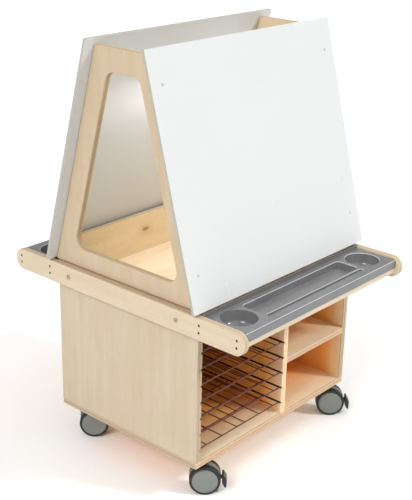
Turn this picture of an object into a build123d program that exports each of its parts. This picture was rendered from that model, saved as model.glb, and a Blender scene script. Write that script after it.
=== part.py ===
from build123d import *
import os
from math import cos, radians, sin, tan

os.makedirs("parts", exist_ok=True)

# ---------------------------------------------------------------------------
# Driving dimensions, in millimetres and degrees.
# X runs along the boards, the front is -Y, +Z is up, the floor is Z = 0.
# ---------------------------------------------------------------------------
PLY = 18.0

# base cabinet
CABINET_WIDTH = 666.0
CABINET_DEPTH = 516.0
BASE_Z = 102.0
SIDE_TOP_Z = 551.5
TOP_PANEL_Z = 501.5
BACK_THICKNESS = 6.0
DIVIDER_X = 27.5
SHELF_TOP_Z = 289.5
EDGE_ROUND = 1.2
JOINT_ROUND = 3.0

# drying racks
RACK_COUNT = 7
RACK_FIRST_Z = 152.5
RACK_PITCH = 47.2
SIDE_WIRE_R = 3.0
CROSS_WIRE_R = 1.7
LONG_WIRE_R = 1.5
GROOVE_HEIGHT = 6.6
GROOVE_DEPTH = 5.0
RACK_FRONT_Y = -254.0
RACK_REAR_Y = 246.0
CROSS_WIRE_YS = (-250.0, -192.0, -64.0, 64.0, 192.0, 242.0)
LONG_WIRE_OFFSETS = (-141.0, -79.0, -17.0, 17.0, 79.0, 141.0)

# end rails and tray rails
END_RAIL_LENGTH = 842.0
END_RAIL_HEIGHT = 61.0
END_RAIL_Z = 518.5
OUTER_RAIL_Y = 396.0
INNER_RAIL_Y = 275.5
TRAY_RAIL_BOTTOM_Z = 503.0
TRAY_RAIL_TOP_Z = 540.0
RAIL_SCREW_Z = 519.5
RAIL_SCREW_HALF_PITCH = 9.8
BOLT_Y = 199.0
BOLT_Z = 519.5

# lift-out trays
TRAY_HALF_LENGTH = 332.0
TRAY_TOP_Z = 543.0
TRAY_SKIN = 3.0
TRAY_BACK_Y = 274.5
TRAY_BACK_RISE = 10.5
TRAY_LIP_INNER_Y = 405.3
TRAY_LIP_OUTER_Y = 408.3
TRAY_LIP_BOTTOM_Z = 519.0
CUP_X = 270.0
CUP_Y = 335.75
CUP_TOP_R = 48.0
CUP_FLOOR_R = 43.5
CUP_FLOOR_Z = 505.5
CUP_BOWL_R = 16.0
BRIM_ROUND = 2.4
TROUGH_HALF_LENGTH = 210.0
TROUGH_Y = 328.5
TROUGH_WIDTH = 70.0
TROUGH_DEPTH = 19.0
GROOVE_Y = 377.0
GROOVE_WIDTH = 12.0
GROOVE_DROP = 6.0
GROOVE_HALF_LENGTH = 208.0

# leaning end frames and boards
LEAN = 15.3
FRAME_TOP_Z = 1161.5
CUT_BOTTOM_Z = 605.0
CUT_TOP_Z = 1101.0
CUT_BOTTOM_HALF = 190.9
CUT_RADIUS = 30.0
CUT_ROUND = 3.0
BOARD_WIDTH = 730.0
BOARD_THICKNESS = 8.0
BOARD_LENGTH = 644.7
BOARD_BOTTOM_Y = 273.3
BOARD_BOTTOM_Z = 558.2
BOARD_CORNER_R = 4.0
BOARD_SCREW_X = 326.0
BOARD_SCREW_VS = (91.0, 557.5)
STRETCHER_INNER_Y = 225.0
STRETCHER_TOP_Z = 615.0

# twin-wheel castors
CASTOR_X = 288.0
CASTOR_Y = 215.0
CASTOR_HEADING = -49.0
PLATE_SIZE = 62.0
PLATE_THICKNESS = 3.0
PLATE_HOLE_PITCH = 46.0
KINGPIN_R = 4.0
KINGPIN_BORE_R = 4.06
WHEEL_R = 42.4
RIM_R = 35.2
TRAIL = 28.0
WEB_HALF = 7.0
WHEEL_INNER_Y = 8.0
WHEEL_OUTER_Y = 25.0
AXLE_R = 4.0
WEB_R = 43.0
WEB_BOTTOM_Z = 18.0
NECK_HALF = 13.0
NECK_TOP_Z = 92.0
PEDAL_PIVOT_X = 26.0
PEDAL_PIVOT_Z = 8.0
PEDAL_PIN_R = 2.0

HALF_WIDTH = CABINET_WIDTH / 2
HALF_DEPTH = CABINET_DEPTH / 2
INNER_X = HALF_WIDTH - PLY
FLOOR_Z = BASE_Z + PLY
TOP_PANEL_BOTTOM_Z = TOP_PANEL_Z - PLY
BACK_INNER_Y = HALF_DEPTH - BACK_THICKNESS
BAY_DEPTH = BACK_INNER_Y + HALF_DEPTH
BAY_CENTRE_Y = (BACK_INNER_Y - HALF_DEPTH) / 2
BAY_HEIGHT = TOP_PANEL_BOTTOM_Z - FLOOR_Z
RACK_CENTRE_X = (DIVIDER_X - INNER_X) / 2
RACK_ZS = [RACK_FIRST_Z + RACK_PITCH * i for i in range(RACK_COUNT)]


def panel(x0, x1, y0, y1, z0, z1):
    """A flat board that fills a box given by its limits."""
    with BuildPart() as board:
        with BuildSketch(Plane.XY.offset(z0)):
            with Locations(((x0 + x1) / 2, (y0 + y1) / 2)):
                Rectangle(x1 - x0, y1 - y0)
        extrude(amount=z1 - z0)
    return board.part


def leaning_plane(front):
    """The outer face of one board: x along the board, y up its slope, z outwards."""
    side = -1 if front else 1
    normal = (0, side * cos(radians(LEAN)), sin(radians(LEAN)))
    return Plane(
        origin=(0, side * BOARD_BOTTOM_Y, BOARD_BOTTOM_Z),
        x_dir=(-side, 0, 0),
        z_dir=normal,
    )


# ---------------------------------------------------------------------------
# Base cabinet
# ---------------------------------------------------------------------------
with BuildPart() as cabinet_base_panel:
    add(panel(-HALF_WIDTH, HALF_WIDTH, -HALF_DEPTH, HALF_DEPTH, BASE_Z, FLOOR_Z))
    fillet(cabinet_base_panel.edges().filter_by(Axis.Z), radius=2 * EDGE_ROUND)
    fillet(cabinet_base_panel.faces().sort_by(Axis.Z)[0].edges(), radius=EDGE_ROUND)
    for cx in (-CASTOR_X, CASTOR_X):
        for cy in (-CASTOR_Y, CASTOR_Y):
            with BuildSketch(Plane.XY.offset(BASE_Z)):
                with Locations((cx, cy)):
                    with GridLocations(PLATE_HOLE_PITCH, PLATE_HOLE_PITCH, 2, 2):
                        Circle(1.75)
            extrude(amount=14, mode=Mode.SUBTRACT)
cabinet_base_panel.part.label = "cabinet_base_panel"
export_step(cabinet_base_panel.part, "parts/cabinet_base_panel.step")


def side_panel(side):
    """One upright end panel with its two bolt holes; side is -1 for left, 1 for right."""
    inner = side * INNER_X
    outer = side * HALF_WIDTH
    with BuildPart() as upright:
        add(panel(min(inner, outer), max(inner, outer), -HALF_DEPTH, HALF_DEPTH, FLOOR_Z, SIDE_TOP_Z))
        top_edges = upright.faces().sort_by(Axis.Z)[-1].edges().filter_by(Axis.Y)
        fillet(top_edges.filter_by(lambda e: abs(e.center().X - outer) < 0.1), radius=JOINT_ROUND)
        with BuildSketch(Plane.YZ.offset(min(inner, outer))):
            with Locations((-BOLT_Y, BOLT_Z), (BOLT_Y, BOLT_Z)):
                Circle(3.2)
        extrude(amount=PLY, mode=Mode.SUBTRACT)
    return upright.part


with BuildPart() as cabinet_side_left:
    add(side_panel(-1))
    for rack_z in RACK_ZS:
        with BuildSketch(Plane.XZ.offset(-RACK_REAR_Y - 1)):
            with Locations((-INNER_X - GROOVE_DEPTH / 2, rack_z)):
                Rectangle(GROOVE_DEPTH, GROOVE_HEIGHT)
        extrude(amount=CABINET_DEPTH, mode=Mode.SUBTRACT)
cabinet_side_left.part.label = "cabinet_side_left"
export_step(cabinet_side_left.part, "parts/cabinet_side_left.step")

with BuildPart() as cabinet_side_right:
    add(side_panel(1))
cabinet_side_right.part.label = "cabinet_side_right"
export_step(cabinet_side_right.part, "parts/cabinet_side_right.step")

with BuildPart() as cabinet_divider:
    add(panel(DIVIDER_X, DIVIDER_X + PLY, -HALF_DEPTH, BACK_INNER_Y, FLOOR_Z, TOP_PANEL_BOTTOM_Z))
    for rack_z in RACK_ZS:
        with BuildSketch(Plane.XZ.offset(-RACK_REAR_Y - 1)):
            with Locations((DIVIDER_X + GROOVE_DEPTH / 2, rack_z)):
                Rectangle(GROOVE_DEPTH, GROOVE_HEIGHT)
        extrude(amount=CABINET_DEPTH, mode=Mode.SUBTRACT)
cabinet_divider.part.label = "cabinet_divider"
export_step(cabinet_divider.part, "parts/cabinet_divider.step")

with BuildPart() as cabinet_shelf:
    add(panel(DIVIDER_X + PLY, INNER_X, -HALF_DEPTH, BACK_INNER_Y, SHELF_TOP_Z - PLY, SHELF_TOP_Z))
    front_edges = cabinet_shelf.faces().sort_by(Axis.Y)[0].edges().filter_by(Axis.X)
    fillet(front_edges, radius=EDGE_ROUND)
cabinet_shelf.part.label = "cabinet_shelf"
export_step(cabinet_shelf.part, "parts/cabinet_shelf.step")

with BuildPart() as cabinet_top_panel:
    add(panel(-INNER_X, INNER_X, -HALF_DEPTH, HALF_DEPTH, TOP_PANEL_BOTTOM_Z, TOP_PANEL_Z))
cabinet_top_panel.part.label = "cabinet_top_panel"
export_step(cabinet_top_panel.part, "parts/cabinet_top_panel.step")

with BuildPart() as cabinet_back_panel:
    add(panel(-INNER_X, INNER_X, BACK_INNER_Y, HALF_DEPTH, FLOOR_Z, TOP_PANEL_BOTTOM_Z))
cabinet_back_panel.part.label = "cabinet_back_panel"
export_step(cabinet_back_panel.part, "parts/cabinet_back_panel.step")


# ---------------------------------------------------------------------------
# Wire drying racks that slide in the routed grooves
# ---------------------------------------------------------------------------
def wire_rack(rack_z):
    """One rack: two thick side wires, cross wires, and long wires welded on top."""
    left_x = -INNER_X - 1.5
    right_x = DIVIDER_X + 1.5
    rack_length = RACK_REAR_Y - RACK_FRONT_Y
    wire_z = rack_z - GROOVE_HEIGHT / 2 + SIDE_WIRE_R + 0.1
    with BuildPart() as rack:
        with BuildSketch(Plane.XZ.offset(-RACK_REAR_Y)):
            with Locations((left_x, wire_z), (right_x, wire_z)):
                Circle(SIDE_WIRE_R)
        extrude(amount=rack_length)
        for cross_y in CROSS_WIRE_YS:
            with BuildSketch(Plane.YZ.offset(left_x)):
                with Locations((cross_y, wire_z)):
                    Circle(CROSS_WIRE_R)
            extrude(amount=right_x - left_x)
        first_y = CROSS_WIRE_YS[0] - 1
        last_y = CROSS_WIRE_YS[-1] + 1
        with BuildSketch(Plane.XZ.offset(-last_y)):
            for dx in LONG_WIRE_OFFSETS:
                with Locations((RACK_CENTRE_X + dx, wire_z + CROSS_WIRE_R + LONG_WIRE_R - 0.5)):
                    Circle(LONG_WIRE_R)
        extrude(amount=last_y - first_y)
    return rack.part


for index, rack_z in enumerate(RACK_ZS, start=1):
    with BuildPart() as drying_rack:
        add(wire_rack(rack_z))
    drying_rack.part.label = f"drying_rack_{index}"
    export_step(drying_rack.part, f"parts/drying_rack_{index}.step")


# ---------------------------------------------------------------------------
# End rails, and the tray rails that span between them
# ---------------------------------------------------------------------------
RAIL_SCREW_POINTS = [
    (side * y, RAIL_SCREW_Z + dz)
    for side in (-1, 1)
    for y in (OUTER_RAIL_Y, INNER_RAIL_Y)
    for dz in (-RAIL_SCREW_HALF_PITCH, RAIL_SCREW_HALF_PITCH)
]


def end_rail(side):
    """A long round-ended board bolted flat on the outside of one end panel."""
    inner_face = side * HALF_WIDTH
    outer_face = side * (HALF_WIDTH + PLY)
    screw_seat_x = outer_face - side * 2.4
    bolt_points = [(-BOLT_Y, BOLT_Z), (BOLT_Y, BOLT_Z)]
    with BuildPart() as rail:
        with BuildSketch(Plane.YZ.offset(min(inner_face, outer_face))):
            with Locations((0, END_RAIL_Z)):
                SlotOverall(END_RAIL_LENGTH, END_RAIL_HEIGHT)
        extrude(amount=PLY)
        fillet(rail.faces().sort_by(Axis.X)[0].edges(), radius=2 * EDGE_ROUND)
        fillet(rail.faces().sort_by(Axis.X)[-1].edges(), radius=2 * EDGE_ROUND)
        with BuildSketch(Plane.YZ.offset(min(inner_face, outer_face))):
            with Locations(*RAIL_SCREW_POINTS):
                Circle(2.1)
            with Locations(*bolt_points):
                Circle(3.2)
        extrude(amount=PLY, mode=Mode.SUBTRACT)
        with BuildSketch(Plane.YZ.offset(min(screw_seat_x, outer_face))):
            with Locations(*RAIL_SCREW_POINTS):
                Circle(3.6)
        extrude(amount=2.4, mode=Mode.SUBTRACT)
    return rail.part


with BuildPart() as end_rail_left:
    add(end_rail(-1))
end_rail_left.part.label = "end_rail_left"
export_step(end_rail_left.part, "parts/end_rail_left.step")

with BuildPart() as end_rail_right:
    add(end_rail(1))
end_rail_right.part.label = "end_rail_right"
export_step(end_rail_right.part, "parts/end_rail_right.step")


def tray_rail(centre_y):
    """A slim batten between the end rails, with screw pilot holes in both ends."""
    pilot_depth = 30.0
    with BuildPart() as batten:
        add(panel(-HALF_WIDTH, HALF_WIDTH, centre_y - PLY / 2, centre_y + PLY / 2,
                  TRAY_RAIL_BOTTOM_Z, TRAY_RAIL_TOP_Z))
        fillet(batten.edges().filter_by(Axis.X), radius=EDGE_ROUND)
        for start_x in (-HALF_WIDTH, HALF_WIDTH - pilot_depth):
            with BuildSketch(Plane.YZ.offset(start_x)):
                with Locations((centre_y, RAIL_SCREW_Z)):
                    with GridLocations(1, 2 * RAIL_SCREW_HALF_PITCH, 1, 2):
                        Circle(1.8)
            extrude(amount=pilot_depth, mode=Mode.SUBTRACT)
    return batten.part


TRAY_RAILS = {
    "tray_rail_front_outer": -OUTER_RAIL_Y,
    "tray_rail_front_inner": -INNER_RAIL_Y,
    "tray_rail_rear_inner": INNER_RAIL_Y,
    "tray_rail_rear_outer": OUTER_RAIL_Y,
}
for rail_name, rail_y in TRAY_RAILS.items():
    with BuildPart() as tray_batten:
        add(tray_rail(rail_y))
    tray_batten.part.label = rail_name
    export_step(tray_batten.part, f"parts/{rail_name}.step")

with BuildPart() as rail_screws:
    for side in (-1, 1):
        tip_x = side * (HALF_WIDTH - 26)
        seat_x = side * (HALF_WIDTH + PLY - 2.4)
        face_x = side * (HALF_WIDTH + PLY - 0.2)
        with BuildSketch(Plane.YZ.offset(min(tip_x, seat_x))):
            with Locations(*RAIL_SCREW_POINTS):
                Circle(1.7)
        extrude(amount=abs(seat_x - tip_x))
        with BuildSketch(Plane.YZ.offset(min(seat_x, face_x))):
            with Locations(*RAIL_SCREW_POINTS):
                Circle(3.5)
        extrude(amount=abs(face_x - seat_x))
        with BuildSketch(Plane.YZ.offset(min(face_x - side * 1.2, face_x))):
            with Locations(*RAIL_SCREW_POINTS):
                RegularPolygon(1.5, 6)
        extrude(amount=1.2, mode=Mode.SUBTRACT)
rail_screws.part.label = "rail_screws"
export_step(rail_screws.part, "parts/rail_screws.step")

with BuildPart() as rail_bolts:
    for side in (-1, 1):
        tip_x = side * (INNER_X - 9)
        face_x = side * (HALF_WIDTH + PLY)
        crown_x = side * (HALF_WIDTH + PLY + 3)
        with BuildSketch(Plane.YZ.offset(min(tip_x, face_x))):
            with Locations((-BOLT_Y, BOLT_Z), (BOLT_Y, BOLT_Z)):
                Circle(3.0)
        extrude(amount=abs(face_x - tip_x))
        with BuildSketch(Plane.YZ.offset(min(face_x, crown_x))):
            with Locations((-BOLT_Y, BOLT_Z), (BOLT_Y, BOLT_Z)):
                Circle(6.0)
        extrude(amount=3)
        with BuildSketch(Plane.YZ.offset(min(crown_x - side * 1.8, crown_x))):
            with Locations((-BOLT_Y, BOLT_Z), (BOLT_Y, BOLT_Z)):
                RegularPolygon(2.2, 6)
        extrude(amount=1.8, mode=Mode.SUBTRACT)
    crowns = rail_bolts.edges().filter_by(GeomType.CIRCLE)
    fillet(crowns.filter_by(lambda e: abs(e.center().X) > HALF_WIDTH + PLY + 2 and e.radius > 5), radius=2)
rail_bolts.part.label = "rail_bolts"
export_step(rail_bolts.part, "parts/rail_bolts.step")

with BuildPart() as rail_bolt_nuts:
    for side in (-1, 1):
        near_x = side * INNER_X
        washer_x = side * (INNER_X - 1.5)
        far_x = side * (INNER_X - 7)
        with BuildSketch(Plane.YZ.offset(min(near_x, washer_x))):
            with Locations((-BOLT_Y, BOLT_Z), (BOLT_Y, BOLT_Z)):
                Circle(8.0)
                Circle(3.05, mode=Mode.SUBTRACT)
        extrude(amount=1.5)
        with BuildSketch(Plane.YZ.offset(min(washer_x, far_x))):
            with Locations((-BOLT_Y, BOLT_Z), (BOLT_Y, BOLT_Z)):
                RegularPolygon(5.8, 6)
                Circle(3.05, mode=Mode.SUBTRACT)
        extrude(amount=5.5)
rail_bolt_nuts.part.label = "rail_bolt_nuts"
export_step(rail_bolt_nuts.part, "parts/rail_bolt_nuts.step")


# ---------------------------------------------------------------------------
# Moulded lift-out trays: two cups, a trough, a pencil groove and a front lip
# ---------------------------------------------------------------------------
def tray_shell():
    """The front tray, sitting on the two front tray rails."""
    skin = TRAY_SKIN
    plate_z = TRAY_TOP_Z - skin
    plate_centre_y = -(TRAY_LIP_OUTER_Y + TRAY_BACK_Y) / 2
    plate_width = TRAY_LIP_OUTER_Y - TRAY_BACK_Y
    with BuildPart() as tray:
        with BuildSketch(Plane.XY.offset(plate_z)):
            with Locations((0, plate_centre_y)):
                Rectangle(2 * TRAY_HALF_LENGTH, plate_width)
        extrude(amount=skin)
        with BuildSketch(Plane.XY.offset(TRAY_LIP_BOTTOM_Z)):
            with Locations((0, -(TRAY_LIP_INNER_Y + TRAY_LIP_OUTER_Y) / 2)):
                Rectangle(2 * TRAY_HALF_LENGTH, TRAY_LIP_OUTER_Y - TRAY_LIP_INNER_Y)
        extrude(amount=plate_z - TRAY_LIP_BOTTOM_Z)
        with BuildSketch(Plane.XY.offset(plate_z)):
            with Locations((0, -TRAY_BACK_Y - skin / 2)):
                Rectangle(2 * TRAY_HALF_LENGTH, skin)
        extrude(amount=TRAY_BACK_RISE + skin)
        with Locations((-CUP_X, -CUP_Y, (CUP_FLOOR_Z - 2.5 + plate_z) / 2),
                       (CUP_X, -CUP_Y, (CUP_FLOOR_Z - 2.5 + plate_z) / 2)):
            Cone(CUP_FLOOR_R + 2, CUP_TOP_R + 2.5, plate_z - CUP_FLOOR_Z + 2.5)
        with BuildSketch(Plane.XY.offset(TRAY_TOP_Z - 0.5)):
            with Locations((0, -TROUGH_Y)):
                RectangleRounded(2 * TROUGH_HALF_LENGTH + 5, TROUGH_WIDTH + 5, 14)
        extrude(amount=-TROUGH_DEPTH - 2, taper=8)
        with BuildSketch(Plane.XY.offset(TRAY_TOP_Z - 0.5)):
            with Locations((0, -GROOVE_Y)):
                RectangleRounded(2 * GROOVE_HALF_LENGTH + 5, GROOVE_WIDTH + 5, 7)
        extrude(amount=-GROOVE_DROP - 2, taper=12)
        # hollows
        with Locations((-CUP_X, -CUP_Y, (CUP_FLOOR_Z + TRAY_TOP_Z) / 2),
                       (CUP_X, -CUP_Y, (CUP_FLOOR_Z + TRAY_TOP_Z) / 2)):
            Cone(CUP_FLOOR_R - 0.5, CUP_TOP_R, TRAY_TOP_Z - CUP_FLOOR_Z, mode=Mode.SUBTRACT)
        with BuildSketch(Plane.XY.offset(TRAY_TOP_Z)):
            with Locations((0, -TROUGH_Y)):
                RectangleRounded(2 * TROUGH_HALF_LENGTH, TROUGH_WIDTH, 12)
        extrude(amount=-TROUGH_DEPTH, taper=8, mode=Mode.SUBTRACT)
        with BuildSketch(Plane.XY.offset(TRAY_TOP_Z)):
            with Locations((0, -GROOVE_Y)):
                RectangleRounded(2 * GROOVE_HALF_LENGTH, GROOVE_WIDTH, 5.5)
        extrude(amount=-GROOVE_DROP, taper=12, mode=Mode.SUBTRACT)
        # softened edges of the moulding
        floor_rings = tray.edges().filter_by(GeomType.CIRCLE)
        fillet(floor_rings.filter_by(lambda e: abs(e.center().Z - CUP_FLOOR_Z) < 0.1), radius=CUP_BOWL_R)
        lip_top = tray.edges().filter_by(Axis.X)
        fillet(lip_top.filter_by(lambda e: abs(e.center().Z - TRAY_TOP_Z) < 0.1
                                 and e.center().Y < 0.1 - TRAY_LIP_OUTER_Y), radius=2.5)
        brims = tray.edges().filter_by(lambda e: abs(e.center().Z - TRAY_TOP_Z) < 0.1
                                       and -392 < e.center().Y < -290
                                       and abs(e.center().X) < CUP_X + 1)
        fillet(brims, radius=BRIM_ROUND)
    return tray.part


with BuildPart() as tray_front:
    add(tray_shell())
tray_front.part.label = "tray_front"
export_step(tray_front.part, "parts/tray_front.step")

with BuildPart() as tray_rear:
    add(tray_shell(), rotation=(0, 0, 180))
tray_rear.part.label = "tray_rear"
export_step(tray_rear.part, "parts/tray_rear.step")

# ---------------------------------------------------------------------------
# Leaning frame: end frames, stretchers and the two dry-wipe boards
# ---------------------------------------------------------------------------
SLOPE = tan(radians(LEAN))
FRAME_EDGE_GAP = 0.02
FRAME_BOTTOM_HALF = (
    BOARD_BOTTOM_Y
    + (BOARD_BOTTOM_Z - SIDE_TOP_Z) * SLOPE
    - BOARD_THICKNESS / cos(radians(LEAN))
    - FRAME_EDGE_GAP
)
FRAME_TOP_HALF = FRAME_BOTTOM_HALF - (FRAME_TOP_Z - SIDE_TOP_Z) * SLOPE
CUT_TOP_HALF = CUT_BOTTOM_HALF - (CUT_TOP_Z - CUT_BOTTOM_Z) * SLOPE


def end_frame(side):
    """A trapezoid end panel with a large round-cornered opening."""
    inner = side * INNER_X
    outer = side * HALF_WIDTH
    with BuildPart() as trapezoid:
        with BuildSketch(Plane.YZ.offset(min(inner, outer))):
            with BuildLine():
                Polyline(
                    (-FRAME_BOTTOM_HALF, SIDE_TOP_Z),
                    (FRAME_BOTTOM_HALF, SIDE_TOP_Z),
                    (FRAME_TOP_HALF, FRAME_TOP_Z),
                    (-FRAME_TOP_HALF, FRAME_TOP_Z),
                    close=True,
                )
            make_face()
        extrude(amount=PLY)
        with BuildSketch(Plane.YZ.offset(min(inner, outer))) as opening:
            with BuildLine():
                Polyline(
                    (-CUT_BOTTOM_HALF, CUT_BOTTOM_Z),
                    (CUT_BOTTOM_HALF, CUT_BOTTOM_Z),
                    (CUT_TOP_HALF, CUT_TOP_Z),
                    (-CUT_TOP_HALF, CUT_TOP_Z),
                    close=True,
                )
            make_face()
            fillet(opening.vertices(), radius=CUT_RADIUS)
        extrude(amount=PLY, mode=Mode.SUBTRACT)
        rim = trapezoid.edges().filter_by(lambda e: abs(e.center().Y) < CUT_BOTTOM_HALF + 1
                                          and CUT_BOTTOM_Z - 1 < e.center().Z < CUT_TOP_Z + 1
                                          and min(abs(e.center().X - inner), abs(e.center().X - outer)) < 0.1)
        fillet(rim, radius=CUT_ROUND)
        bottom_edges = trapezoid.faces().sort_by(Axis.Z)[0].edges().filter_by(Axis.Y)
        fillet(bottom_edges.filter_by(lambda e: abs(e.center().X - outer) < 0.1), radius=JOINT_ROUND)
        for front in (True, False):
            with BuildSketch(leaning_plane(front).offset(-BOARD_THICKNESS)):
                with Locations(*[(sx * BOARD_SCREW_X, v) for sx in (-1, 1) for v in BOARD_SCREW_VS]):
                    Circle(1.95)
            extrude(amount=-27, mode=Mode.SUBTRACT)
    return trapezoid.part


with BuildPart() as end_frame_left:
    add(end_frame(-1))
end_frame_left.part.label = "end_frame_left"
export_step(end_frame_left.part, "parts/end_frame_left.step")

with BuildPart() as end_frame_right:
    add(end_frame(1))
end_frame_right.part.label = "end_frame_right"
export_step(end_frame_right.part, "parts/end_frame_right.step")

with BuildPart() as stretcher_front:
    add(panel(-INNER_X, INNER_X, -STRETCHER_INNER_Y - PLY, -STRETCHER_INNER_Y, TOP_PANEL_Z, STRETCHER_TOP_Z))
    fillet(stretcher_front.faces().sort_by(Axis.Z)[-1].edges().filter_by(Axis.X), radius=EDGE_ROUND)
stretcher_front.part.label = "stretcher_front"
export_step(stretcher_front.part, "parts/stretcher_front.step")

with BuildPart() as stretcher_rear:
    add(panel(-INNER_X, INNER_X, STRETCHER_INNER_Y, STRETCHER_INNER_Y + PLY, TOP_PANEL_Z, STRETCHER_TOP_Z))
    fillet(stretcher_rear.faces().sort_by(Axis.Z)[-1].edges().filter_by(Axis.X), radius=EDGE_ROUND)
stretcher_rear.part.label = "stretcher_rear"
export_step(stretcher_rear.part, "parts/stretcher_rear.step")

BOARD_SCREW_POINTS = [(sx * BOARD_SCREW_X, v) for sx in (-1, 1) for v in BOARD_SCREW_VS]


def wipe_board(front):
    """A white board with rounded corners, screwed to the sloping frame edges."""
    face = leaning_plane(front)
    with BuildPart() as board:
        with BuildSketch(face):
            with Locations((0, BOARD_LENGTH / 2)):
                RectangleRounded(BOARD_WIDTH, BOARD_LENGTH, BOARD_CORNER_R)
        extrude(amount=-BOARD_THICKNESS)
        with BuildSketch(face):
            with Locations(*BOARD_SCREW_POINTS):
                Circle(2.2)
        extrude(amount=-BOARD_THICKNESS, mode=Mode.SUBTRACT)
        with BuildSketch(face):
            with Locations(*BOARD_SCREW_POINTS):
                Circle(4.2)
        extrude(amount=-1.4, mode=Mode.SUBTRACT)
    return board.part


with BuildPart() as board_front:
    add(wipe_board(True))
board_front.part.label = "board_front"
export_step(board_front.part, "parts/board_front.step")

with BuildPart() as board_rear:
    add(wipe_board(False))
board_rear.part.label = "board_rear"
export_step(board_rear.part, "parts/board_rear.step")

with BuildPart() as board_screws:
    for front in (True, False):
        with BuildSketch(leaning_plane(front).offset(-1.4)):
            with Locations(*BOARD_SCREW_POINTS):
                Circle(1.9)
        extrude(amount=-32)
        with BuildSketch(leaning_plane(front).offset(-1.4)):
            with Locations(*BOARD_SCREW_POINTS):
                Circle(4.0)
        extrude(amount=1.8)
        with BuildSketch(leaning_plane(front).offset(0.4)):
            with Locations(*BOARD_SCREW_POINTS):
                RegularPolygon(1.5, 6)
        extrude(amount=-1.0, mode=Mode.SUBTRACT)
board_screws.part.label = "board_screws"
export_step(board_screws.part, "parts/board_screws.step")

# ---------------------------------------------------------------------------
# Castors
# ---------------------------------------------------------------------------
CASTOR_CENTRES = [(sx * CASTOR_X, sy * CASTOR_Y) for sx in (-1, 1) for sy in (-1, 1)]

with BuildPart() as castor_plates:
    for cx, cy in CASTOR_CENTRES:
        with BuildSketch(Plane.XY.offset(BASE_Z - PLATE_THICKNESS)):
            with Locations((cx, cy)):
                RectangleRounded(PLATE_SIZE, PLATE_SIZE, 6)
                with GridLocations(PLATE_HOLE_PITCH, PLATE_HOLE_PITCH, 2, 2):
                    Circle(2.4, mode=Mode.SUBTRACT)
        extrude(amount=PLATE_THICKNESS)
        with BuildSketch(Plane.XY.offset(BASE_Z - PLATE_THICKNESS)):
            with Locations((cx, cy)):
                Circle(14)
        extrude(amount=-6, taper=12)
        with BuildSketch(Plane.XY.offset(BASE_Z - PLATE_THICKNESS - 6)):
            with Locations((cx, cy)):
                Circle(KINGPIN_R)
        extrude(amount=-24)
castor_plates.part.label = "castor_plates"
export_step(castor_plates.part, "parts/castor_plates.step")

with BuildPart() as castor_screws:
    for cx, cy in CASTOR_CENTRES:
        with BuildSketch(Plane.XY.offset(BASE_Z - PLATE_THICKNESS)):
            with Locations((cx, cy)):
                with GridLocations(PLATE_HOLE_PITCH, PLATE_HOLE_PITCH, 2, 2):
                    Circle(1.7)
        extrude(amount=PLATE_THICKNESS + 13)
        with BuildSketch(Plane.XY.offset(BASE_Z - PLATE_THICKNESS)):
            with Locations((cx, cy)):
                with GridLocations(PLATE_HOLE_PITCH, PLATE_HOLE_PITCH, 2, 2):
                    Circle(4)
        extrude(amount=-2)
castor_screws.part.label = "castor_screws"
export_step(castor_screws.part, "parts/castor_screws.step")


def castor_place(centre):
    """Moves a castor built about its kingpin axis to its corner, at its heading."""
    return Location((centre[0], centre[1], 0), (0, 0, CASTOR_HEADING))


def castor_body():
    """Round web between the two wheels, with a square neck for the kingpin."""
    with BuildPart() as body:
        with BuildSketch(Plane.XZ.offset(-WEB_HALF)):
            with Locations((TRAIL, WHEEL_R)):
                Circle(WEB_R)
            with Locations((TRAIL, 0)):
                Rectangle(3 * WEB_R, 2 * WEB_BOTTOM_Z, mode=Mode.SUBTRACT)
            with Locations((0, (WHEEL_R + NECK_TOP_Z) / 2)):
                Rectangle(2 * NECK_HALF, NECK_TOP_Z - WHEEL_R)
        extrude(amount=2 * WEB_HALF)
        with BuildSketch(Plane.XY.offset(60)):
            Circle(KINGPIN_BORE_R)
        extrude(amount=40, mode=Mode.SUBTRACT)
        with BuildSketch(Plane.XZ.offset(-WEB_HALF - 1)):
            with Locations((TRAIL, WHEEL_R)):
                Circle(AXLE_R + 0.06)
        extrude(amount=2 * WEB_HALF + 2, mode=Mode.SUBTRACT)
    return body.part


def castor_braked_body():
    """The same body with a slot and pin hole in its web for the brake pedal."""
    slot_half = 3.2
    with BuildPart() as body:
        add(castor_body())
        with BuildSketch(Plane.XZ.offset(-slot_half)):
            with Locations((TRAIL + PEDAL_PIVOT_X + 12, WHEEL_R + 2)):
                Rectangle(38, 42)
        extrude(amount=2 * slot_half, mode=Mode.SUBTRACT)
        with BuildSketch(Plane.XZ.offset(-WEB_HALF - 1)):
            with Locations((TRAIL + PEDAL_PIVOT_X, WHEEL_R + PEDAL_PIVOT_Z)):
                Circle(PEDAL_PIN_R)
        extrude(amount=2 * WEB_HALF + 2, mode=Mode.SUBTRACT)
    return body.part


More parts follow.
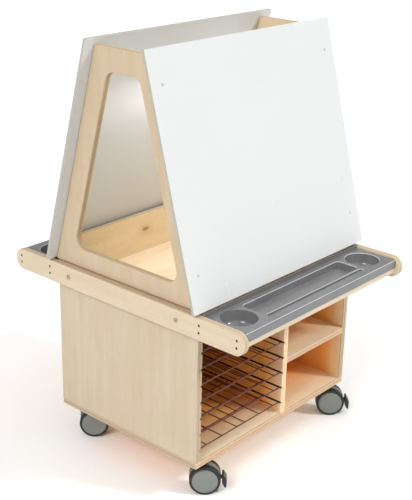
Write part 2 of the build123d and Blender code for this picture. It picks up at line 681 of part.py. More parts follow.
def castor_pedal():
    """Brake pedal: an arm in the web's slot and a broad tread beyond the wheels."""
    with BuildPart() as pedal:
        with BuildSketch(Plane.XZ.offset(-2.9)):
            with BuildLine():
                Polyline(
                    (TRAIL + 22, WHEEL_R + 12),
                    (TRAIL + 34, WHEEL_R + 12),
                    (TRAIL + 46.5, WHEEL_R + 4),
                    (TRAIL + 46.5, WHEEL_R - 4),
                    (TRAIL + 34, WHEEL_R - 1),
                    (TRAIL + 22, WHEEL_R + 4),
                    close=True,
                )
            make_face()
        extrude(amount=5.8)
        with BuildSketch(Plane.XZ.offset(-14)):
            with BuildLine():
                Polyline(
                    (TRAIL + 46, WHEEL_R + 11),
                    (TRAIL + 50, WHEEL_R + 14),
                    (TRAIL + 58.5, WHEEL_R),
                    (TRAIL + 58, WHEEL_R - 25),
                    (TRAIL + 53, WHEEL_R - 24),
                    (TRAIL + 47.5, WHEEL_R - 14),
                    (TRAIL + 46, WHEEL_R - 11),
                    close=True,
                )
            make_face()
        extrude(amount=28)
        with BuildSketch(Plane.XZ.offset(-5)):
            with Locations((TRAIL + PEDAL_PIVOT_X, WHEEL_R + PEDAL_PIVOT_Z)):
                Circle(PEDAL_PIN_R + 0.05)
        extrude(amount=10, mode=Mode.SUBTRACT)
        fillet(pedal.edges().filter_by(Axis.Y).filter_by(
            lambda e: e.center().X > TRAIL + 49 and e.length > 20), radius=1.2)
    return pedal.part


def castor_wheels():
    """Two solid rims with gently dished outer faces."""
    with BuildPart() as rims:
        for side in (-1, 1):
            with BuildSketch(Plane.XZ.offset(-side * (WHEEL_INNER_Y + WHEEL_OUTER_Y) / 2)):
                with Locations((TRAIL, WHEEL_R)):
                    Circle(RIM_R)
                    Circle(AXLE_R, mode=Mode.SUBTRACT)
            extrude(amount=(WHEEL_OUTER_Y - WHEEL_INNER_Y) / 2, both=True)
            with BuildSketch(Plane.XZ.offset(-side * WHEEL_OUTER_Y)):
                with Locations((TRAIL, WHEEL_R)):
                    Circle(RIM_R - 1.5)
            extrude(amount=-side * 1.5, taper=20)
    return rims.part


def castor_tyres():
    """Two soft treads around the rims."""
    with BuildPart() as treads:
        for side in (-1, 1):
            with BuildSketch(Plane.XZ.offset(-side * (WHEEL_INNER_Y + WHEEL_OUTER_Y) / 2)):
                with Locations((TRAIL, WHEEL_R)):
                    Circle(WHEEL_R)
                    Circle(RIM_R, mode=Mode.SUBTRACT)
            extrude(amount=(WHEEL_OUTER_Y - WHEEL_INNER_Y) / 2, both=True)
        outer_rings = treads.edges().filter_by(GeomType.CIRCLE).filter_by(lambda e: e.radius > RIM_R + 1)
        fillet(outer_rings, radius=3)
    return treads.part


def castor_axle():
    """Plain axle shared by both wheels."""
    with BuildPart() as axle:
        with BuildSketch(Plane.XZ.offset(-WHEEL_OUTER_Y)):
            with Locations((TRAIL, WHEEL_R)):
                Circle(AXLE_R)
        extrude(amount=2 * WHEEL_OUTER_Y)
    return axle.part


def castor_pedal_pin():
    """Cross pin on which the brake pedal rocks."""
    with BuildPart() as pin:
        with BuildSketch(Plane.XZ.offset(-WEB_HALF)):
            with Locations((TRAIL + PEDAL_PIVOT_X, WHEEL_R + PEDAL_PIVOT_Z)):
                Circle(PEDAL_PIN_R)
        extrude(amount=2 * WEB_HALF)
    return pin.part


CASTORS = {
    "front_left": (-CASTOR_X, -CASTOR_Y),
    "front_right": (CASTOR_X, -CASTOR_Y),
    "rear_left": (-CASTOR_X, CASTOR_Y),
    "rear_right": (CASTOR_X, CASTOR_Y),
}
for corner, centre in CASTORS.items():
    braked = corner.startswith("front")
    pieces = {
        "body": castor_braked_body() if braked else castor_body(),
        "wheels": castor_wheels(),
        "tyres": castor_tyres(),
        "axle": castor_axle(),
    }
    if braked:
        pieces["pedal"] = castor_pedal()
        pieces["pedal_pin"] = castor_pedal_pin()
    for piece_name, shape in pieces.items():
        with BuildPart() as castor_piece:
            add(shape.moved(castor_place(centre)))
        castor_piece.part.label = f"castor_{corner}_{piece_name}"
        export_step(castor_piece.part, f"parts/castor_{corner}_{piece_name}.step")
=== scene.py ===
"""Double-sided mobile art easel: finishes, floor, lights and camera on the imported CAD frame."""
import math

import bpy
from mathutils import Matrix, Vector


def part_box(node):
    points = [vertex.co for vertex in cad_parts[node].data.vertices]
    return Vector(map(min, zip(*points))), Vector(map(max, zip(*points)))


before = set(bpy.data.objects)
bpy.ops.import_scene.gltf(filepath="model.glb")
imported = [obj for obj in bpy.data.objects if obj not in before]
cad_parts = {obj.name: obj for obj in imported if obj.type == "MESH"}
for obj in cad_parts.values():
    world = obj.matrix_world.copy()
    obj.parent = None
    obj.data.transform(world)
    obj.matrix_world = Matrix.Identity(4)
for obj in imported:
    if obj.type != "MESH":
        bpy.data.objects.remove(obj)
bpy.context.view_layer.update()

# Places on the CAD that the finishes follow, in metres
SIDE_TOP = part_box("cabinet_side_left")[1].z
FRONT_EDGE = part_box("cabinet_side_left")[0].y
INNER_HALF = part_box("cabinet_top_panel")[1].x
CEILING, TUB_FLOOR = (corner.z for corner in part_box("cabinet_top_panel"))
FRAME_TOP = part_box("end_frame_left")[1].z
TYRE_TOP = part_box("castor_front_left_tyres")[1].z
TRAY_PLATE_THICKNESS = 0.003
TRAY_PLATE_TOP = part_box("tray_rail_front_outer")[1].z + TRAY_PLATE_THICKNESS
BOARD_LEAN = math.radians(15.3)

# ---------------------------------------------------------------------------
# Colours, as linear RGB
# ---------------------------------------------------------------------------
BIRCH_PALE = (0.780, 0.655, 0.490)
BIRCH_WARM = (0.715, 0.570, 0.395)
BIRCH_PINK = (0.770, 0.600, 0.455)
BIRCH_STREAK = (0.620, 0.465, 0.290)
EDGE_PALE = (0.700, 0.545, 0.360)
EDGE_DARK = (0.430, 0.280, 0.145)
GLUE_LINE = (0.260, 0.145, 0.065)
# painted shadow for the gap where the end frames sit on the cabinet sides
JOINT_SHADOW_BROWN = (0.420, 0.235, 0.100)
# painted shade: the warm amber that darkens the back of the cabinet's bays
AMBER_SHADE = (1.000, 0.545, 0.195)
# painted light: wood inside the cabinet is multiplied by this to look brighter than the light there makes
# it
INDOOR_PAINTED_LIGHT = (1.240, 1.280, 1.260)
MELLOW = (0.95, 0.84, 0.66)
KNOT = (0.430, 0.230, 0.090)
BOARD_WHITE = (0.672, 0.685, 0.680)
BOARD_HAZE = (0.644, 0.657, 0.652)
BOARD_CORE = (0.400, 0.380, 0.325)
BOARD_CHIP = (0.45, 0.43, 0.375)
TRAY_GREY = (0.182, 0.182, 0.186)
# painted highlight for the tray's filleted rims
TRAY_RIM_HIGHLIGHT = (0.560, 0.560, 0.570)
WIRE_MAROON = (0.150, 0.034, 0.016)
WIRE_WORN = (0.200, 0.055, 0.030)
WIRE_DARK = (0.022, 0.010, 0.009)
CASTOR_BLACK = (0.012, 0.012, 0.013)
CASTOR_GREY = (0.210, 0.226, 0.208)
TYRE_BLACK = (0.014, 0.014, 0.014)
STEEL = (0.420, 0.415, 0.400)
BRONZE = (0.520, 0.430, 0.330)
SCREW_GREY = (0.560, 0.560, 0.550)
SCREW_BROWN = (0.130, 0.105, 0.080)
FLOOR_LIGHT = (0.97, 0.97, 0.97)
FLOOR_DARK = (0.96, 0.96, 0.96)

# The knot in the rear stretcher: its centre as fractions of the stretcher, its half sizes in metres
KNOT_ALONG = 0.459
KNOT_UP = 0.585
KNOT_HALF_LENGTH = 0.019
KNOT_HALF_WIDTH = 0.011

# The world's brightness at the horizon and overhead
SKY_LOW = 0.25
SKY_HIGH = 0.95

AXES = {"x": 0, "y": 1, "z": 2}


class Finish:
    """A node material under construction. Each call adds one node and returns its output."""

    def __init__(self, name):
        self.material = bpy.data.materials.new(name)
        self.material.use_nodes = True
        self.nodes = self.material.node_tree.nodes
        self.links = self.material.node_tree.links
        self.nodes.clear()
        self.shader = self.nodes.new("ShaderNodeBsdfPrincipled")
        output = self.nodes.new("ShaderNodeOutputMaterial")
        self.links.new(self.shader.outputs[0], output.inputs[0])
        self.where = self.nodes.new("ShaderNodeTexCoord")
        self.place = self.where.outputs["Object"]
        self.facing = self.where.outputs["Normal"]

    def feed(self, socket, value):
        if isinstance(value, bpy.types.NodeSocket):
            self.links.new(value, socket)
        elif isinstance(value, (tuple, list)) and len(value) == 3 and socket.type == "RGBA":
            socket.default_value = (*value, 1.0)
        else:
            socket.default_value = value

    def calc(self, operation, *values, clamp=False):
        node = self.nodes.new("ShaderNodeMath")
        node.operation = operation
        node.use_clamp = clamp
        for socket, value in zip(node.inputs, values):
            self.feed(socket, value)
        return node.outputs[0]

    def split(self, vector):
        node = self.nodes.new("ShaderNodeSeparateXYZ")
        self.feed(node.inputs[0], vector)
        return node.outputs

    def join(self, x, y, z):
        node = self.nodes.new("ShaderNodeCombineXYZ")
        for socket, value in zip(node.inputs, (x, y, z)):
            self.feed(socket, value)
        return node.outputs[0]

    def grey(self, value):
        """The same value on all three channels."""
        return self.join(value, value, value)

    def remap(self, value, low, high, to_low=0.0, to_high=1.0, smooth=False):
        node = self.nodes.new("ShaderNodeMapRange")
        node.interpolation_type = "SMOOTHSTEP" if smooth else "LINEAR"
        for name, amount in zip(("Value", "From Min", "From Max", "To Min", "To Max"),
                                (value, low, high, to_low, to_high)):
            self.feed(node.inputs[name], amount)
        return node.outputs["Result"]

    def mapped(self, vector, scale, shift=(0.0, 0.0, 0.0)):
        node = self.nodes.new("ShaderNodeMapping")
        self.feed(node.inputs["Vector"], vector)
        node.inputs["Scale"].default_value = scale
        node.inputs["Location"].default_value = shift
        return node.outputs[0]

    def noise(self, vector, scale, detail=3.0, roughness=0.5, distortion=0.0):
        node = self.nodes.new("ShaderNodeTexNoise")
        self.feed(node.inputs["Vector"], vector)
        node.inputs["Scale"].default_value = scale
        node.inputs["Detail"].default_value = detail
        node.inputs["Roughness"].default_value = roughness
        node.inputs["Distortion"].default_value = distortion
        return node.outputs["Fac"]

    def lottery(self, value):
        """A steady random number for every whole step of a value."""
        node = self.nodes.new("ShaderNodeTexWhiteNoise")
        node.noise_dimensions = "1D"
        self.feed(node.inputs["W"], self.calc("FLOOR", value))
        return node.outputs["Value"]

    def near(self, value, target, inside, outside):
        """One within the inner distance of a target value, falling to zero at the outer one."""
        gap = self.calc("ABSOLUTE", self.calc("SUBTRACT", value, target))
        return self.remap(gap, inside, outside, 1.0, 0.0, smooth=True)

    def blend(self, amount, first, second, mode="MIX"):
        node = self.nodes.new("ShaderNodeMix")
        node.data_type = "RGBA"
        node.blend_type = mode
        self.feed(node.inputs["Factor"], amount)
        self.feed(node.inputs[6], first)
        self.feed(node.inputs[7], second)
        return node.outputs[2]

    def relief(self, height, strength, distance):
        node = self.nodes.new("ShaderNodeBump")
        node.inputs["Strength"].default_value = strength
        node.inputs["Distance"].default_value = distance
        self.feed(node.inputs["Height"], height)
        return node.outputs[0]

    def set(self, **values):
        for name, value in values.items():
            self.feed(self.shader.inputs[name.replace("_", " ").title()], value)


def smear(node):
    """A steady offset for one node, so that no two panels show the same figure."""
    total = sum((i + 1) * ord(letter) for i, letter in enumerate(node))
    return (total % 97) * 0.173, (total % 61) * 0.291, (total % 43) * 0.377


# ---------------------------------------------------------------------------
# Birch plywood: rotary-cut face veneer, and laminations on every cut edge
# ---------------------------------------------------------------------------
def birch(node, thick, grain, plies=13, warm=0.0, knot=None, inside=False, joint_shadow=False,
          shade=1.0, front_shade=None, lit=1.0):
    """Plywood for one panel.

    thick is its thickness axis and grain the way its face veneer runs. warm mellows it, knot is the
    centre of one knot, inside paints an amber shade deepening towards the back of the cabinet, joint
    paints a brown shadow line where the cabinet sides end, shade and front_shade paint the light level
    of what lies outside the cabinet, and lit is how far the brighter painted light inside applies.
    """
    finish = Finish("birch_" + node)
    low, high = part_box(node)
    scale = [1.0, 1.0, 1.0]
    scale[AXES[grain]] = 0.07
    scale[AXES[thick]] = 0.25
    lengthwise = finish.mapped(finish.place, tuple(scale), smear(node))
    x, y, z = finish.split(finish.place)

    figure = finish.noise(lengthwise, 9.0, detail=2.5, roughness=0.55, distortion=0.9)
    flames = finish.calc("FRACT", finish.calc("MULTIPLY", figure, 7.0))
    flames = finish.calc("SUBTRACT", 1.0, finish.calc("ABSOLUTE", finish.calc("SUBTRACT", flames, 0.5)))
    bands = finish.noise(lengthwise, 30.0, detail=3.0, roughness=0.6)
    fibres = finish.noise(lengthwise, 420.0, detail=3.0, roughness=0.65)
    blotch = list(scale)
    blotch[AXES[grain]] = 0.32
    mottle = finish.noise(finish.mapped(finish.place, tuple(blotch), smear(node)), 26.0, detail=3.0,
                          roughness=0.6, distortion=0.4)
    clouds = finish.noise(finish.mapped(finish.place, (1.0, 1.0, 1.0), smear(node)), 6.0, detail=2.0)
    short = list(scale)
    short[AXES[grain]] = 0.16
    pores = finish.noise(finish.mapped(finish.place, tuple(short), smear(node)), 900.0, detail=1.0)
    pores = finish.remap(pores, 0.66, 0.74)

    face = finish.blend(finish.remap(bands, 0.32, 0.68), BIRCH_PALE, BIRCH_WARM)
    face = finish.blend(finish.remap(clouds, 0.46, 0.70, 0.0, 0.55), face, BIRCH_PINK)
    face = finish.blend(finish.remap(mottle, 0.48, 0.72, 0.0, 0.30), face, BIRCH_STREAK)
    face = finish.blend(finish.remap(flames, 0.86, 1.0, 0.0, 0.14), face, EDGE_PALE)
    face = finish.blend(finish.remap(fibres, 0.42, 0.72, 0.0, 0.26), face, EDGE_PALE)
    face = finish.blend(finish.calc("MULTIPLY", pores, 0.30), face, EDGE_DARK)
    height = finish.calc("ADD", finish.calc("MULTIPLY", fibres, 0.5), finish.calc("MULTIPLY", pores, -0.5))

    if knot is not None:
        offset = finish.nodes.new("ShaderNodeVectorMath")
        offset.operation = "SUBTRACT"
        wobble = finish.noise(finish.place, 60.0, detail=2.0)
        finish.feed(offset.inputs[0], finish.place)
        offset.inputs[1].default_value = knot
        stretch = [1.0 / KNOT_HALF_WIDTH] * 3
        stretch[AXES[grain]] = 1.0 / KNOT_HALF_LENGTH
        stretch[AXES[thick]] = 0.0
        length = finish.nodes.new("ShaderNodeVectorMath")
        length.operation = "LENGTH"
        finish.feed(length.inputs[0], finish.mapped(offset.outputs[0], tuple(stretch)))
        radius = finish.calc("ADD", length.outputs["Value"], finish.calc("MULTIPLY", wobble, 0.9))
        halo = finish.remap(radius, 1.1, 3.0, 0.30, 0.0, smooth=True)
        heart = finish.remap(radius, 0.7, 1.25, 1.0, 0.0, smooth=True)
        face = finish.blend(halo, face, EDGE_DARK)
        face = finish.blend(heart, face, KNOT)

    # laminations, each layer with its own tone, thin glue lines and one dark seam near the middle
    axis = finish.split(finish.place)[AXES[thick]]
    depth = finish.remap(axis, low[AXES[thick]], high[AXES[thick]], 0.0, float(plies))
    waver = finish.calc("MULTIPLY", finish.noise(finish.place, 35.0, detail=2.0), 0.35)
    depth = finish.calc("ADD", depth, finish.calc("SUBTRACT", waver, 0.175))
    turn = finish.calc("PINGPONG", depth, 1.0)
    crosswise = finish.remap(turn, 0.42, 0.58)
    tone = finish.lottery(finish.calc("ADD", depth, 0.5 + plies))
    glue = finish.remap(finish.calc("ABSOLUTE", finish.calc("SUBTRACT", turn, 0.5)), 0.03, 0.11, 1.0, 0.0)
    ends = finish.noise(finish.place, 1500.0, detail=1.0)
    side = finish.blend(finish.calc("MULTIPLY", crosswise, 0.55), EDGE_PALE, EDGE_DARK)
    side = finish.blend(finish.remap(tone, 0.2, 1.0, 0.0, 0.45), side, EDGE_DARK)
    side = finish.blend(finish.remap(ends, 0.40, 0.65, 0.0, 0.35), side, BIRCH_WARM)
    side = finish.blend(finish.calc("MULTIPLY", glue, 0.55), side, GLUE_LINE)
    side = finish.blend(0.55, side, BIRCH_WARM)
    seam = finish.near(depth, 0.46 * plies, 0.45, 0.95)
    side = finish.blend(finish.calc("MULTIPLY", seam, 0.55), side, GLUE_LINE)

    tilt = finish.calc("ABSOLUTE", finish.split(finish.facing)[AXES[thick]])
    cut = finish.remap(tilt, 0.55, 0.92, 1.0, 0.0, smooth=True)
    colour = finish.blend(cut, face, side)
    # painted shadow: a brown line at the top of the cabinet sides, standing in for the shadow in the gap
    # under the end frames
    if joint_shadow:
        joint_shadow_mask = finish.near(z, SIDE_TOP, 0.0016, 0.0036)
        colour = finish.blend(finish.calc("MULTIPLY", joint_shadow_mask, 0.75), colour, JOINT_SHADOW_BROWN)

    # painted light: within the cabinet's inner width and back from its front edge the wood is painted
    # brighter, as if more light fell there; outside or ahead of it the shade and front_shade factors paint
    # it darker or brighter instead, standing in for the light on those faces
    within = finish.remap(finish.calc("ABSOLUTE", x), INNER_HALF + 0.001, INNER_HALF + 0.003, 1.0, 0.0)
    sheltered = finish.remap(y, FRONT_EDGE + 0.001, FRONT_EDGE + 0.004)
    painted_light_indoors = finish.calc("MULTIPLY", finish.calc("MULTIPLY", within, sheltered), lit)
    ahead = finish.calc("ABSOLUTE", finish.split(finish.facing)[1])
    outer = finish.remap(ahead, 0.4, 0.8, shade, front_shade or shade)
    shaded_outdoor_colour = finish.blend(1.0, colour, finish.grey(outer), mode="MULTIPLY")
    lit_indoor_colour = finish.blend(1.0, colour, INDOOR_PAINTED_LIGHT, mode="MULTIPLY")
    colour = finish.blend(painted_light_indoors, shaded_outdoor_colour, lit_indoor_colour)
    # painted shade: the wood turns amber towards the back of the cabinet, standing in for the dim, warm
    # bounced light there
    if inside:
        level_face = finish.calc("ABSOLUTE", finish.split(finish.facing)[2])
        upright = finish.remap(level_face, 0.3, 0.7, 1.0, 0.0)
        wall_shade_depth = finish.remap(y, FRONT_EDGE + 0.002, FRONT_EDGE + 0.06, 0.25, 1.0)
        floor_shade_depth = finish.remap(y, FRONT_EDGE + 0.02, FRONT_EDGE + 0.15)
        depth_shade = finish.blend(upright, finish.grey(floor_shade_depth), finish.grey(wall_shade_depth))
        storey = finish.remap(z, CEILING - 0.001, CEILING + 0.001, 1.0, 0.0)
        painted_back_shade = finish.calc("MULTIPLY", finish.calc("MULTIPLY", within, depth_shade), storey)
        colour = finish.blend(painted_back_shade, colour, AMBER_SHADE, mode="MULTIPLY")
    if warm:
        colour = finish.blend(warm, colour, MELLOW, mode="MULTIPLY")
    relief = finish.relief(finish.blend(cut, finish.grey(height), finish.grey(ends)), 0.10, 0.0006)
    sheen = finish.remap(fibres, 0.3, 0.7, 0.40, 0.52)
    finish.set(base_color=colour, roughness=finish.calc("ADD", sheen, finish.calc("MULTIPLY", cut, 0.2)),
               normal=relief)
    finish.shader.inputs["Coat Weight"].default_value = 0.12
    finish.shader.inputs["Coat Roughness"].default_value = 0.28
    finish.shader.inputs["Specular IOR Level"].default_value = 0.35
    return finish.material


# ---------------------------------------------------------------------------
# White boards, moulded trays, coated wire, castors and fasteners
# ---------------------------------------------------------------------------
def wipe_board(node):
    """Gloss white laminate on a pale pressed core that shows at the sawn edge."""
    finish = Finish("laminate_" + node)
    side = -1.0 if node.endswith("front") else 1.0
    outward = (0.0, side * math.cos(BOARD_LEAN), math.sin(BOARD_LEAN))
    along = finish.nodes.new("ShaderNodeVectorMath")
    along.operation = "DOT_PRODUCT"
    finish.feed(along.inputs[0], finish.facing)
    along.inputs[1].default_value = outward
    tilt = finish.calc("ABSOLUTE", along.outputs["Value"])
    cut = finish.remap(tilt, 0.4, 0.9, 1.0, 0.0, smooth=True)
    haze = finish.noise(finish.place, 3.0, detail=3.0)
    smudge = finish.noise(finish.mapped(finish.place, (1.0, 1.0, 0.35), smear(node)), 22.0,
                          detail=4.0, roughness=0.7)
    chips = finish.noise(finish.place, 900.0, detail=2.0)
    face = finish.blend(finish.remap(haze, 0.35, 0.7, 0.0, 0.35), BOARD_WHITE, BOARD_HAZE)
    core = finish.blend(finish.remap(chips, 0.35, 0.65), BOARD_CORE, BOARD_CHIP)
    finish.set(base_color=finish.blend(cut, face, core),
               roughness=finish.calc("ADD", finish.remap(smudge, 0.45, 0.75, 0.16, 0.30),
                                     finish.calc("MULTIPLY", cut, 0.4)),
               normal=finish.relief(finish.noise(finish.place, 260.0, detail=2.0), 0.04, 0.0004))
    finish.shader.inputs["Specular IOR Level"].default_value = 0.4
    return finish.material


def moulded(name, colour, gloss, grain=1400.0, depth=0.00015, wear=0.10, rim_highlight=None):
    """Moulded plastic: fine spark texture, flow clouds, rubbed patches, and a painted highlight on filleted
    rims.
    """
    finish = Finish(name)
    clouds = finish.noise(finish.place, 16.0, detail=3.0)
    spark = finish.noise(finish.place, grain, detail=2.0, roughness=0.6)
    rubbed = finish.remap(finish.noise(finish.place, 45.0, detail=5.0, roughness=0.7), 0.55, 0.75)
    lighter = tuple(min(1.0, c * 1.25 + 0.01) for c in colour)
    darker = tuple(c * 0.86 for c in colour)
    tone = finish.blend(finish.remap(clouds, 0.3, 0.7), darker, colour)
    tone = finish.blend(finish.calc("MULTIPLY", rubbed, wear * 3.0), tone, lighter)
    # painted highlight: paler colour on the filleted rims just under the tray top, standing in for the
    # light they catch
    if rim_highlight is not None:
        upward = finish.split(finish.facing)[2]
        highlight_band = finish.remap(finish.split(finish.place)[2], TRAY_PLATE_TOP - 2 * TRAY_PLATE_THICKNESS,
                                TRAY_PLATE_TOP - TRAY_PLATE_THICKNESS)
        highlight_mask = finish.calc("MULTIPLY", finish.near(upward, 0.70, 0.20, 0.28), highlight_band)
        tone = finish.blend(finish.calc("MULTIPLY", highlight_mask, 0.85), tone, rim_highlight)
    finish.set(base_color=tone,
               roughness=finish.calc("ADD", gloss, finish.calc("MULTIPLY", rubbed, 0.10)),
               normal=finish.relief(spark, 0.35, depth))
    return finish.material


def coated_wire(name):
    """Dip-coated wire: red-brown on the thin wires, nearly black on the thick side wires."""
    finish = Finish(name)
    low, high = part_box("drying_rack_1")
    x = finish.split(finish.place)[0]
    peel = finish.noise(finish.place, 520.0, detail=2.0)
    patches = finish.noise(finish.place, 14.0, detail=2.0)
    deeper = tuple(c * 0.6 for c in WIRE_MAROON)
    tone = finish.blend(finish.remap(patches, 0.35, 0.68), WIRE_MAROON, deeper)
    tone = finish.blend(finish.remap(peel, 0.6, 0.75, 0.0, 0.35), tone, WIRE_WORN)
    ends = finish.calc("MAXIMUM", finish.near(x, low.x, 0.007, 0.010), finish.near(x, high.x, 0.007, 0.010))
    tone = finish.blend(ends, tone, WIRE_DARK)
    finish.set(base_color=tone, roughness=finish.remap(peel, 0.3, 0.7, 0.30, 0.45),
               normal=finish.relief(peel, 0.25, 0.0003))
    return finish.material


def castor_housing(name, grey, neck_height):
    """Grey moulded web with a black neck above the wheels."""
    finish = Finish(name)
    z = finish.split(finish.place)[2]
    clouds = finish.noise(finish.place, 30.0, detail=3.0)
    spark = finish.noise(finish.place, 800.0, detail=2.0, roughness=0.6)
    scuffs = finish.remap(finish.noise(finish.place, 60.0, detail=5.0, roughness=0.7), 0.58, 0.72, 0.0, 0.4)
    tone = finish.blend(finish.remap(clouds, 0.3, 0.7), tuple(c * 0.88 for c in grey), grey)
    tone = finish.blend(scuffs, tone, tuple(c * 0.6 for c in grey))
    tone = finish.blend(finish.remap(z, neck_height - 0.001, neck_height + 0.001), tone, CASTOR_BLACK)
    finish.set(base_color=tone, roughness=finish.remap(clouds, 0.3, 0.7, 0.38, 0.50),
               normal=finish.relief(spark, 0.30, 0.0003))
    return finish.material


def metal(name, colour, rough):
    """Plated or blackened steel with fine turning marks and tarnish."""
    finish = Finish(name)
    marks = finish.noise(finish.mapped(finish.place, (1.0, 1.0, 6.0)), 700.0, detail=2.0)
    tarnish = finish.noise(finish.place, 120.0, detail=3.0)
    darker = tuple(c * 0.6 for c in colour)
    finish.set(base_color=finish.blend(finish.remap(tarnish, 0.35, 0.7), colour, darker),
               roughness=finish.remap(marks, 0.3, 0.7, rough, rough + 0.15),
               normal=finish.relief(marks, 0.15, 0.0001))
    finish.shader.inputs["Metallic"].default_value = 1.0
    return finish.material


def dress(node, material):
    """Puts one material on every slot of a CAD node."""
    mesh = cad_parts[node].data
    mesh.materials.clear()
    mesh.materials.append(material)


stretcher_low, stretcher_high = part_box("stretcher_rear")
knot_place = (stretcher_low.x + KNOT_ALONG * (stretcher_high.x - stretcher_low.x), stretcher_low.y,
              stretcher_low.z + KNOT_UP * (stretcher_high.z - stretcher_low.z))

# Each plywood panel's thickness axis, grain axis and departures from plain birch, painted light and shade
# among them
PANELS = {
    "cabinet_base_panel": ("z", "x", {"inside": True, "shade": 0.73, "front_shade": 0.96}),
    "cabinet_side_left": ("x", "z", {"inside": True, "joint_shadow": True, "shade": 0.74}),
    "cabinet_side_right": ("x", "z", {"inside": True, "joint_shadow": True, "shade": 0.74}),
    "cabinet_divider": ("x", "z", {"inside": True, "shade": 1.48}),
    "cabinet_shelf": ("z", "x", {"inside": True}),
    "cabinet_top_panel": ("z", "x", {}),
    "cabinet_back_panel": ("y", "x", {"plies": 5, "inside": True}),
    "end_rail_left": ("x", "y", {"shade": 0.84}),
    "end_rail_right": ("x", "y", {"shade": 0.84}),
    "tray_rail_front_outer": ("y", "x", {"shade": 0.86}),
    "tray_rail_front_inner": ("y", "x", {"shade": 0.86}),
    "tray_rail_rear_inner": ("y", "x", {"shade": 0.86}),
    "tray_rail_rear_outer": ("y", "x", {"shade": 0.86}),
    "end_frame_left": ("x", "z", {"warm": 0.35, "joint_shadow": True, "shade": 0.75, "lit": 0.5}),
    "end_frame_right": ("x", "z", {"warm": 0.35, "joint_shadow": True, "shade": 0.75, "lit": 0.5}),
    "stretcher_front": ("y", "x", {"warm": 0.4}),
    "stretcher_rear": ("y", "x", {"warm": 0.4, "knot": knot_place}),
}
for panel, (thick_axis, grain_axis, options) in PANELS.items():
    dress(panel, birch(panel, thick_axis, grain_axis, **options))
dress("board_front", wipe_board("board_front"))
dress("board_rear", wipe_board("board_rear"))

tray_finish = moulded("tray_moulding", TRAY_GREY, 0.16, grain=900.0, depth=0.00004, rim_highlight=TRAY_RIM_HIGHLIGHT)
dress("tray_front", tray_finish)
dress("tray_rear", tray_finish)

wire_finish = coated_wire("wire_coating")
for index in range(1, 8):
    dress(f"drying_rack_{index}", wire_finish)

black_finish = moulded("castor_black", CASTOR_BLACK, 0.34, wear=0.06)
grey_finish = moulded("castor_disc", CASTOR_GREY, 0.45, grain=700.0, depth=0.0003)
tyre_finish = moulded("castor_tyre", TYRE_BLACK, 0.62, grain=900.0, depth=0.0003, wear=0.12)
zinc_finish = metal("zinc_plate", STEEL, 0.34)
housing_finish = castor_housing("castor_housing", CASTOR_GREY, TYRE_TOP)
for corner in ("front_left", "front_right", "rear_left", "rear_right"):
    dress(f"castor_{corner}_body", housing_finish)
    dress(f"castor_{corner}_wheels", grey_finish)
    dress(f"castor_{corner}_tyres", tyre_finish)
    dress(f"castor_{corner}_axle", zinc_finish)
for corner in ("front_left", "front_right"):
    dress(f"castor_{corner}_pedal", black_finish)
    dress(f"castor_{corner}_pedal_pin", zinc_finish)
dress("castor_plates", zinc_finish)
dress("castor_screws", zinc_finish)
dress("rail_bolts", metal("bolt_bronze", BRONZE, 0.38))
dress("rail_bolt_nuts", zinc_finish)
dress("rail_screws", metal("dark_screw", SCREW_BROWN, 0.42))
dress("board_screws", moulded("screw_cap", SCREW_GREY, 0.40, grain=600.0, depth=0.0001))

# ---------------------------------------------------------------------------
# Floor, light and camera
# ---------------------------------------------------------------------------
FLOOR_HALF = 40
floor_finish = Finish("studio_floor")
floor_tone = floor_finish.noise(floor_finish.place, 1.2, detail=2.0)
floor_finish.set(base_color=floor_finish.blend(floor_finish.remap(floor_tone, 0.3, 0.7), FLOOR_LIGHT,
                                               FLOOR_DARK),
                 roughness=0.9)
floor_mesh = bpy.data.meshes.new("studio_floor")
floor_mesh.from_pydata([(-FLOOR_HALF, -FLOOR_HALF, 0), (FLOOR_HALF, -FLOOR_HALF, 0),
                        (FLOOR_HALF, FLOOR_HALF, 0), (-FLOOR_HALF, FLOOR_HALF, 0)], [], [(0, 1, 2, 3)])
floor_mesh.materials.append(floor_finish.material)
floor = bpy.data.objects.new("studio_floor", floor_mesh)
bpy.context.collection.objects.link(floor)

world = bpy.data.worlds.new("studio")
bpy.context.scene.world = world
world.use_nodes = True
sky_nodes, sky_links = world.node_tree.nodes, world.node_tree.links
sky = sky_nodes["Background"]
sky_direction = sky_nodes.new("ShaderNodeTexCoord")
sky_height = sky_nodes.new("ShaderNodeSeparateXYZ")
sky_fade = sky_nodes.new("ShaderNodeMapRange")
sky_fade.interpolation_type = "SMOOTHSTEP"
sky_fade.inputs["From Min"].default_value = 0.0
sky_fade.inputs["From Max"].default_value = 1.0
sky_fade.inputs["To Min"].default_value = SKY_LOW
sky_fade.inputs["To Max"].default_value = SKY_HIGH
sky_links.new(sky_direction.outputs["Generated"], sky_height.inputs[0])
sky_links.new(sky_height.outputs[2], sky_fade.inputs["Value"])
sky_links.new(sky_fade.outputs["Result"], sky.inputs["Color"])
sky.inputs["Strength"].default_value = 1.0


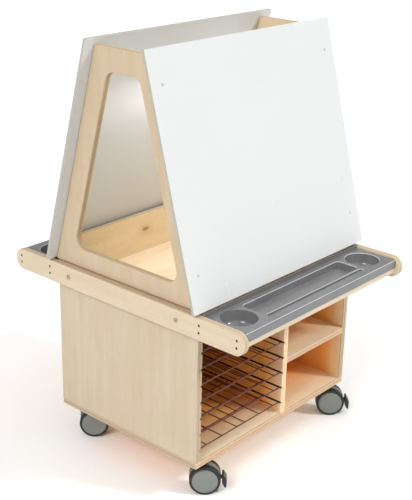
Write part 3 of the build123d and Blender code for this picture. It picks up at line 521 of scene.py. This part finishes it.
def far_softbox(name, direction, spread, strength):
    """A distant soft light; direction points from the object towards it, spread is in degrees."""
    data = bpy.data.lights.new(name, "SUN")
    data.angle = math.radians(spread)
    data.energy = strength
    lamp = bpy.data.objects.new(name, data)
    lamp.rotation_mode = "QUATERNION"
    lamp.rotation_quaternion = (-Vector(direction)).to_track_quat("-Z", "Y")
    bpy.context.collection.objects.link(lamp)


far_softbox("left", (-1.0, -0.20, 0.80), 24, 1.56)
far_softbox("front", (0.55, -1.0, 0.95), 9, 1.46)

# A small light under the boards' top gap, which brightens the tub between them
TUB_LAMP_SIZE = (0.46, 0.06)
TUB_LAMP_WATTS = 0.95
TUB_LAMP_X = 0.06
TUB_LAMP_DROP = 0.16
tub_light = bpy.data.lights.new("tub_fill", "AREA")
tub_light.shape = "RECTANGLE"
tub_light.size, tub_light.size_y = TUB_LAMP_SIZE
tub_light.energy = TUB_LAMP_WATTS
tub_lamp = bpy.data.objects.new("tub_fill", tub_light)
tub_lamp.location = (TUB_LAMP_X, 0.0, FRAME_TOP - TUB_LAMP_DROP * (FRAME_TOP - TUB_FLOOR))
bpy.context.collection.objects.link(tub_lamp)

CAMERA_PLACE = (-2.0936, -1.8087, 1.6331)
CAMERA_YAW = math.radians(-49.0)
CAMERA_PITCH = math.radians(-21.3)
CAMERA_ROLL = math.radians(1.2)
CAMERA_LENS = 75.73
forward = Vector((-math.sin(CAMERA_YAW) * math.cos(CAMERA_PITCH),
                  math.cos(CAMERA_YAW) * math.cos(CAMERA_PITCH), math.sin(CAMERA_PITCH)))
level = forward.cross(Vector((0, 0, 1))).normalized()
above = level.cross(forward)
right = level * math.cos(CAMERA_ROLL) + above * math.sin(CAMERA_ROLL)
up = above * math.cos(CAMERA_ROLL) - level * math.sin(CAMERA_ROLL)
camera_data = bpy.data.cameras.new("camera")
camera_data.sensor_width = 36.0
camera_data.lens = CAMERA_LENS
camera_data.clip_end = 200.0
camera = bpy.data.objects.new("camera", camera_data)
camera.matrix_world = Matrix.Translation(CAMERA_PLACE) @ Matrix((right, up, -forward)).transposed().to_4x4()
bpy.context.collection.objects.link(camera)
bpy.context.scene.camera = camera
bpy.context.scene.view_settings.view_transform = "Standard"
